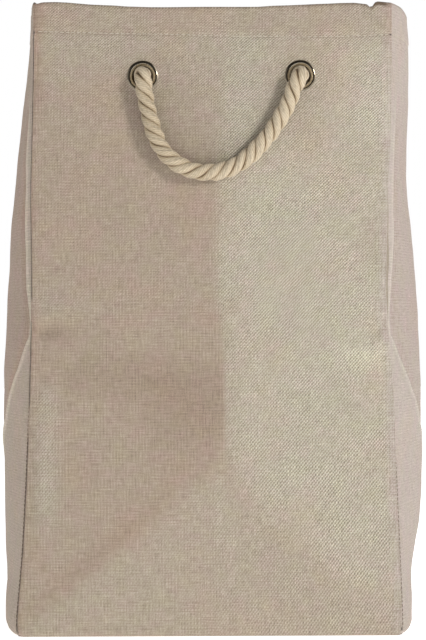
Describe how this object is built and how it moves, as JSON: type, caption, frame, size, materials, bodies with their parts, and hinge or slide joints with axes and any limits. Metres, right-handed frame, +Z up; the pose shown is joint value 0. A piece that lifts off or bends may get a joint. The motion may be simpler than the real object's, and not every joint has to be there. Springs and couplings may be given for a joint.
{
  "type": "laundry bag",
  "caption": "Tall rectangular cloth laundry bag with pleated sides that fold flat, metal eyelets and a twisted rope carrying loop on the front and back.",
  "frame": {"origin": "middle of the base footprint on the floor", "axes": "+Z up along the height, the front panel faces -Y, +X to the right when looking at the front"},
  "size_m": [0.402, 0.337, 0.6],
  "materials": {
    "canvas": "matte",
    "rope": "matte",
    "nickel": "polished",
    "binding": "matte"
  },
  "bodies": {
    "front": {"front_panel": "canvas", "front_left_eyelet": "nickel", "front_left_washer": "nickel", "front_left_rope_end": "rope", "front_left_seam_binding": "binding", "front_right_eyelet": "nickel", "front_right_washer": "nickel", "front_right_rope_end": "rope", "front_right_seam_binding": "binding", "front_base_seam_binding": "binding", "base_panel": "canvas"},
    "left_front": {"left_gusset_front_half": "canvas"},
    "left_rear": {"left_gusset_rear_half": "canvas"},
    "back": {"back_panel": "canvas", "back_left_eyelet": "nickel", "back_left_washer": "nickel", "back_left_rope_end": "rope", "back_left_seam_binding": "binding", "back_right_eyelet": "nickel", "back_right_washer": "nickel", "back_right_rope_end": "rope", "back_right_seam_binding": "binding", "back_base_seam_binding": "binding"},
    "right_front": {"right_gusset_front_half": "canvas"},
    "right_rear": {"right_gusset_rear_half": "canvas"},
    "front_handle": {"front_rope_loop": "rope"},
    "back_handle": {"back_rope_loop": "rope"}
  },
  "joints": [
    {"name": "fold", "type": "hinge", "parent": "front", "child": "left_front", "pos_m": [-0.17, -0.148, 0.3], "axis": [0, 0, -1], "range_deg": [0, 71.5], "deforming": ["base_panel"]},
    {"name": "left_crease", "type": "hinge", "parent": "left_front", "child": "left_rear", "pos_m": [-0.2, 0, 0.3], "axis": [0, 0, -1], "range_deg": [-143, 0]},
    {"name": "back_left_corner", "type": "hinge", "parent": "left_rear", "child": "back", "pos_m": [-0.17, 0.148, 0.3], "axis": [0, 0, -1], "range_deg": [0, 71.5]},
    {"name": "front_right_corner", "type": "hinge", "parent": "front", "child": "right_front", "pos_m": [0.17, -0.148, 0.3], "axis": [0, 0, 1], "range_deg": [0, 71.5]},
    {"name": "right_crease", "type": "hinge", "parent": "right_front", "child": "right_rear", "pos_m": [0.2, 0, 0.3], "axis": [0, 0, 1], "range_deg": [-143, 0]},
    {"name": "front_handle_swing", "type": "hinge", "parent": "front", "child": "front_handle", "pos_m": [0.009, -0.1605, 0.53], "axis": [-1, 0, 0], "range_deg": [0, 175]},
    {"name": "back_handle_swing", "type": "hinge", "parent": "back", "child": "back_handle", "pos_m": [-0.009, 0.1605, 0.53], "axis": [1, 0, 0], "range_deg": [0, 175]}
  ],
  "couplings": [
    {"joint": "left_crease", "follows": "fold", "ratio": -2},
    {"joint": "back_left_corner", "follows": "fold", "ratio": 1},
    {"joint": "front_right_corner", "follows": "fold", "ratio": 1},
    {"joint": "right_crease", "follows": "fold", "ratio": -2}
  ]
}
